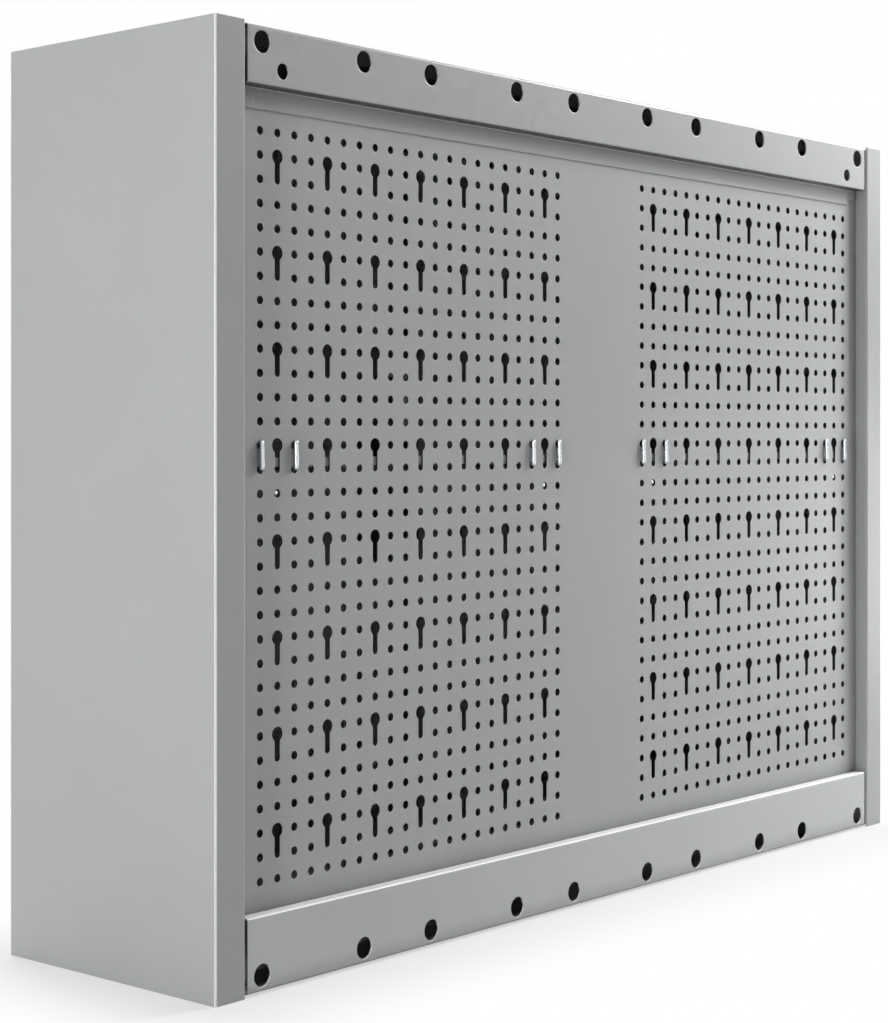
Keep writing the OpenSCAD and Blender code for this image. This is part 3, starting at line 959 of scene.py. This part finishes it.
@dataclass
class Doors:
    """Two pan doors on pivot pins, with their stiffeners, bushes, keepers and bolts."""

    screw_x: float = -9.0
    screw_y: float = -79.5
    screw_z: tuple[float, ...] = (560.5, 514.5, 80.5, 34.5)
    screw_l: float = 4.5
    screw_head: float = 1.6
    knob_x: float = -25.0
    knob_y: float = -63.2
    knob_top_z: float = 526.0
    knob_bottom_z: float = 69.0
    # The knob's rings, as radius and height over its core.
    knob_profile: tuple[Pair, ...] = (
        (3.45, 0.0),
        (4.05, 0.2),
        (4.35, 0.8),
        (4.35, 5.5),
        (4.05, 6.2),
        (3.35, 6.6),
        (0.6, 6.7),
    )
    flutes: int = 24
    flute_depth: float = 0.3
    flute_steps: int = 4

    def build(self) -> None:
        """Dresses the doors and everything on them, and adds the bolts' knobs and the guides' screws."""
        dress(("door_left", "door_right"), DOOR_COAT)
        dress(("door_left_stiffener", "door_right_stiffener"), SIDE_COAT)
        dress(("door_left_bushes", "door_right_bushes"), NYLON)
        dress(("pivot_pins", "keeper_left", "keeper_right"), ZINC_STEEL)
        dress(("bolt_guide_top", "bolt_guide_bottom", "bolt_rod_top", "bolt_rod_bottom"), ZINC_STEEL)
        self.knob("bolt_knob_top", self.knob_top_z, Body.UPPER_BOLT)
        self.knob("bolt_knob_bottom", self.knob_bottom_z, Body.LOWER_BOLT)
        for number, z in enumerate(self.screw_z, 1):
            seat = (self.screw_x, self.screw_y, z)
            screw = PanScrew(f"guide_screw_{number}", seat, (0, 1, 0), self.screw_l, self.screw_head)
            screw.build(ZINC_STEEL, Body.LEFT_DOOR, "guide_screws")

    def knob(self, name: str, z: float, body: Body) -> None:
        """Makes a bolt's fluted knob over its plain core.

        Args:
            name: The piece's name.
            z: The knob's height.
            body: The bolt that it moves with.
        """
        solid = Solid()
        centre, steps = (self.knob_x, self.knob_y, z), self.flutes * self.flute_steps
        profile = list(self.knob_profile)
        solid.turn(centre, (0, 1, 0), profile, steps, flutes=self.flutes, flute_depth=self.flute_depth)
        place(solid.made(name), ZINC_STEEL, body)


@dataclass
class CupHandle:
    """The recessed pull: a cup moulded with a rolled rim, finger ribs inside and clips behind the sheet."""

    centre: Point = (45.0, -97.0, 298.0)
    # Half width, half height and corner radius of the rim and of the cup's outside.
    rim: tuple[float, float, float] = (26.0, 58.0, 14.0)
    cup: tuple[float, float, float] = (20.0, 52.0, 8.0)
    depth: float = 13.0
    wall: float = 1.6
    draft: float = 0.5
    floor_r: float = 4.0
    floor_leans: tuple[int, ...] = (90, 75, 60, 45, 30, 15, 0)
    # The rest of the skin in order, as insets from the cup or the rim and places behind the door's front.
    mouth: tuple[Pair, ...] = ((1.7, 1.0), (1.55, -0.3), (1.3, -0.95), (0.8, -1.38), (0.2, -1.5))
    rolled: tuple[Pair, ...] = ((1.8, -1.5), (1.0, -1.42), (0.45, -1.2), (0.1, -0.8), (0.0, -0.4), (0.4, 0.0))
    outside: tuple[Pair, ...] = ((0.0, 0.0), (0.0, 1.0), (0.2, 12.2), (0.5, 12.7), (1.0, 13.0))
    rib_y: float = 0.8
    rib_step: float = 9.0
    ribs: int = 9
    rib_steps: int = 16
    rib_profile: tuple[Pair, ...] = ((0.4, 0.0), (0.8, 0.3), (1.0, 0.9), (1.0, 7.0), (0.8, 7.6), (0.4, 7.9))
    clip_z: float = 28.0
    clip_w: float = 12.0
    clip_root: float = 0.4
    # A clip's slope: places behind the door's front, and how far it stands out of the cup.
    clip_profile: tuple[Pair, ...] = ((1.1, 1.6), (1.8, 1.7), (6.5, 0.3), (8.0, 0.05))

    def build(self) -> None:
        """Makes the cup from its floor over the rim to its back, then the ribs and clips."""
        rings = []
        for lean in self.floor_leans:
            turn = math.radians(lean)
            inset = self.wall + self.draft + self.floor_r * (1 - math.cos(turn))
            floor_y = self.depth - self.wall - self.floor_r * (1 - math.sin(turn))
            rings.append(self.ring(self.cup, inset, floor_y))
        for form, steps in ((self.cup, self.mouth), (self.rim, self.rolled), (self.cup, self.outside)):
            rings += [self.ring(form, inset, y) for inset, y in steps]
        solid = Solid()
        solid.stack(rings)
        cx, cy, cz = self.centre
        wall_x = cx - self.cup[0] + self.wall + self.draft / 2
        for i in range(self.ribs):
            z = cz + (i - (self.ribs - 1) / 2) * self.rib_step
            solid.turn((wall_x, cy + self.rib_y, z), (0, 1, 0), list(self.rib_profile), self.rib_steps)
        for side in (-1, 1):
            for z in (cz - self.clip_z, cz + self.clip_z):
                self.clip(solid, side, z)
        place(solid.made("cup_handle_moulding"), BLACK_ABS, Body.RIGHT_DOOR, "cup_handle")

    def ring(self, form: tuple[float, float, float], inset: float, y: float) -> list[Point]:
        """Gives the handle's outline at one depth.

        Args:
            form: Half width, half height and corner radius.
            inset: How far inside that form it runs.
            y: How far behind the door's front it lies.

        Returns:
            The outline's points.
        """
        half_x, half_z, corner = form
        cx, cy, cz = self.centre
        flat = loop(half_x - inset, half_z - inset, corner - inset)
        return [(cx + x, cy + y, cz + z) for x, z in flat]

    def clip(self, solid: Solid, side: int, z: float) -> None:
        """Adds a snap clip that holds the cup behind the sheet.

        Args:
            solid: The mesh that gets it.
            side: Which side of the cup it is on, -1 or 1.
            z: Its height.
        """
        cx, cy, _ = self.centre
        near, half = cx + side * (self.cup[0] - self.clip_root), self.clip_w / 2
        rings = []
        for y, out in self.clip_profile:
            far = cx + side * (self.cup[0] + out)
            flat = ((near, z - half), (far, z - half), (far, z + half), (near, z + half))
            rings.append([(x, cy + y, height) for x, height in flat])
        solid.stack(rings)


@dataclass
class CamLock:
    """The cam lock: a die-cast housing with a rounded flange and a threaded barrel, its plug, nut and cam."""

    centre: Point = (32.0, -97.0, 390.0)
    flange_r: float = 11.0
    flange_t: float = 1.8
    flange_round: float = 1.4
    flange_leans: tuple[int, ...] = (0, 15, 30, 45, 60, 75, 90)
    flange_foot: Pair = (0.2, 0.15)
    bore_r: float = 5.55
    bore_bevel: float = 0.35
    barrel_r: float = 8.0
    barrel_l: float = 16.0
    neck: Pair = (0.1, 1.2)
    thread_from: float = 1.4
    thread_end: float = 1.0
    thread_depth: float = 0.55
    pitch: float = 1.25
    tail: float = 0.6
    steps: int = 64

    def build(self) -> None:
        """Makes the housing and dresses the rest."""
        r, t, edge = self.flange_r, self.flange_t, self.flange_round
        profile = [
            (self.bore_r, -self.barrel_l),
            (self.bore_r, t - self.bore_bevel),
            (self.bore_r + self.bore_bevel, t),
        ]
        for lean in self.flange_leans:
            turn = math.radians(lean)
            profile.append((r - edge + edge * math.sin(turn), t - edge + edge * math.cos(turn)))
        foot_in, foot_up = self.flange_foot
        neck_in, neck_l = self.neck
        neck_r = self.barrel_r - neck_in
        profile += [(r, foot_up), (r - foot_in, 0.0), (neck_r, 0.0), (neck_r, -neck_l)]
        for i in range(int((self.barrel_l - self.thread_from - self.thread_end) / self.pitch)):
            y = -self.thread_from - self.pitch * i
            profile += [(self.barrel_r - self.thread_depth, y), (self.barrel_r, y - self.pitch / 2)]
        profile.append((self.barrel_r - self.tail, -self.barrel_l))
        solid = Solid()
        solid.turn(self.centre, (0, -1, 0), profile, self.steps, bored=True)
        place(solid.made("lock_housing"), CHROME, Body.RIGHT_DOOR, "lock_barrel")
        dress(("lock_plug",), CHROME)
        dress(("lock_nut", "lock_cam", "lock_cam_screw"), ZINC_STEEL)


@dataclass
class Catches:
    """The magnetic catches over the doors and the rubber buffers under them."""

    screw_x: tuple[float, ...] = (-79.0, -41.0, 41.0, 79.0)
    screw_y: float = -72.4
    screw_z: float = 563.0
    screw_l: float = 14.5
    screw_head: float = 2.0

    def build(self) -> None:
        """Dresses the catches and buffers and adds the catches' screws."""
        dress(("magnetic_catches",), BLACK_ABS)
        dress(("catch_poles",), ZINC_STEEL)
        dress(("door_buffers",), RUBBER)
        for number, x in enumerate(self.screw_x, 1):
            seat = (x, self.screw_y, self.screw_z)
            screw = PanScrew(f"catch_screw_{number}", seat, (0, 0, -1), self.screw_l, self.screw_head)
            screw.build(ZINC_STEEL, Body.CABINET, "catch_screws")


# ---- Studio ----


@dataclass
class PhotoCamera:
    """The camera, level and behind the cabinet, as fitted to the photograph's holes, rails and outline."""

    place_mm: Point = (1264.45, 1027.46, 341.5)
    heading_deg: float = 130.862
    focal_px: float = 2108.74
    horizon_px: float = 436.68

    def build(self) -> None:
        """Makes the scene's camera."""
        data = bpy.data.cameras.new("camera")
        long_side = max(IMAGE_PX)
        data.sensor_width = SENSOR_MM
        data.lens = self.focal_px / long_side * SENSOR_MM
        data.shift_y = (self.horizon_px - IMAGE_PX[1] / 2) / long_side
        camera = bpy.data.objects.new("camera", data)
        camera.location = [mm(v) for v in self.place_mm]
        camera.rotation_euler = (math.radians(90), 0, math.radians(self.heading_deg))
        bpy.context.scene.collection.objects.link(camera)
        bpy.context.scene.camera = camera


@dataclass(frozen=True)
class SoftBox:
    """A studio lamp behind a flat diffuser, which points at one spot."""

    name: str
    place_mm: Point
    aim_mm: Point
    wide_mm: float
    tall_mm: float
    watts: float

    def build(self) -> None:
        """Makes the lamp."""
        data = bpy.data.lights.new(self.name, "AREA")
        data.shape = "RECTANGLE"
        data.size = mm(self.wide_mm)
        data.size_y = mm(self.tall_mm)
        data.energy = self.watts
        lamp = bpy.data.objects.new(self.name, data)
        spot, aim = Vector(self.place_mm), Vector(self.aim_mm)
        lamp.location = spot / 1000
        lamp.rotation_euler = (aim - spot).to_track_quat("-Z", "Y").to_euler()
        bpy.context.scene.collection.objects.link(lamp)


@dataclass
class Studio:
    """Soft boxes, a room that is white where it shows, and a floor that fades to white round the cabinet."""

    boxes: tuple[SoftBox, ...] = (
        SoftBox("rear_key", (-1200, 600, 1300), (-200, 90, 300), 500, 500, 23),
        SoftBox("rear_glint", (-1300, 500, 850), (-300, 90, 300), 400, 400, 1.2),
        SoftBox("rear_strip", (-1500, 450, 20), (-300, 99, 150), 300, 700, 4.6),
        SoftBox("side_box", (1900, -500, 500), (400, 0, 300), 600, 600, 5.6),
        SoftBox("side_strip", (1900, 410, 350), (400, 0, 300), 300, 1400, 17.0),
        SoftBox("front_box", (-700, -1500, 1500), (0, -100, 300), 1500, 1500, 42),
    )
    floor_grey: str = "EDEDED"
    floor_mm: float = 12000.0
    floor_gap_mm: float = 0.2
    # Seen directly, the floor is partly white, by shadow_fill, inside these half sides, and fades to all
    # white over shadow_mm outside them.
    foot_mm: Pair = (380.0, 80.0)
    shadow_mm: float = 130.0
    shadow_fill: float = 0.55

    def build(self) -> None:
        """Makes the lamps, the room and the floor."""
        for box in self.boxes:
            box.build()
        self.room()
        self.floor()
        bpy.context.scene.view_settings.view_transform = "Standard"

    def room(self) -> None:
        """Makes the world: white to the camera and in reflections, dark as light on the cabinet."""
        world = bpy.data.worlds.new("room")
        world.use_nodes = True
        tree = world.node_tree
        tree.nodes.clear()
        path = add_node(tree, "LightPath")
        seen = path.outputs["Is Camera Ray"]
        for ray in ("Is Glossy Ray", "Is Transmission Ray"):
            either = add_node(tree, "Math", {"operation": "MAXIMUM"}, {0: seen, 1: path.outputs[ray]})
            seen = either.outputs["Value"]
        sky = add_node(tree, "Background", {"Color": (1, 1, 1, 1)}, {"Strength": seen})
        add_node(tree, "OutputWorld", links={"Surface": sky.outputs["Background"]})
        bpy.context.scene.world = world

    def floor(self) -> None:
        """Makes the floor, which keeps the cabinet's shadow and fades to white round it."""
        half = mm(self.floor_mm) / 2
        mesh = bpy.data.meshes.new("studio_floor")
        mesh.from_pydata([(half * sx, half * sy, 0) for sx, sy in CORNERS], [], [(0, 1, 2, 3)])
        floor = bpy.data.objects.new("studio_floor", mesh)
        floor.location.z = -mm(self.floor_gap_mm)
        bpy.context.scene.collection.objects.link(floor)
        mesh.materials.append(self.paint())

    def paint(self) -> bpy.types.Material:
        """Makes the floor's matt paint.

        Returns:
            The material.
        """
        paint = bpy.data.materials.new("matt_studio_floor")
        paint.use_nodes = True
        tree = paint.node_tree
        tree.nodes.clear()
        spot = add_node(tree, "TexCoord")
        near = add_node(tree, "VectorMath", {"operation": "ABSOLUTE"}, {0: spot.outputs["Object"]})
        foot = [mm(v) for v in (*self.foot_mm, 0)]
        out = add_node(tree, "VectorMath", {"operation": "SUBTRACT", 1: foot}, {0: near.outputs["Vector"]})
        past = add_node(tree, "VectorMath", {"operation": "MAXIMUM"}, {0: out.outputs["Vector"]})
        away = add_node(tree, "VectorMath", {"operation": "LENGTH"}, {0: past.outputs["Vector"]})
        levels = {
            "interpolation_type": "SMOOTHSTEP",
            "From Max": mm(self.shadow_mm),
            "To Min": self.shadow_fill,
        }
        fade = add_node(tree, "MapRange", levels, {"Value": away.outputs["Value"]})
        path = add_node(tree, "LightPath")
        rays = {0: path.outputs["Is Camera Ray"], 1: path.outputs["Is Glossy Ray"]}
        seen = add_node(tree, "Math", {"operation": "MAXIMUM"}, rays)
        white = add_node(
            tree, "Math", {"operation": "MULTIPLY"}, {0: seen.outputs["Value"], 1: fade.outputs["Result"]}
        )
        matt = add_node(tree, "BsdfDiffuse", {"Color": linear(self.floor_grey)})
        glow = add_node(tree, "Emission", {"Color": (1, 1, 1, 1), "Strength": 1.0})
        both = add_node(
            tree, "MixShader", links={0: white.outputs["Value"], 1: matt.outputs[0], 2: glow.outputs[0]}
        )
        add_node(tree, "OutputMaterial", links={"Surface": both.outputs[0]})
        return paint


def main() -> None:
    """Builds the cabinet's sub-assemblies and the studio, in order."""
    logging.basicConfig(level=logging.INFO, format="%(name)s %(message)s")
    PhotoCamera().build()
    for part in (Carcass(), Shelving(), Doors(), CupHandle(), CamLock(), Catches()):
        part.build()
    Studio().build()


if __name__ == "__main__":
    main()
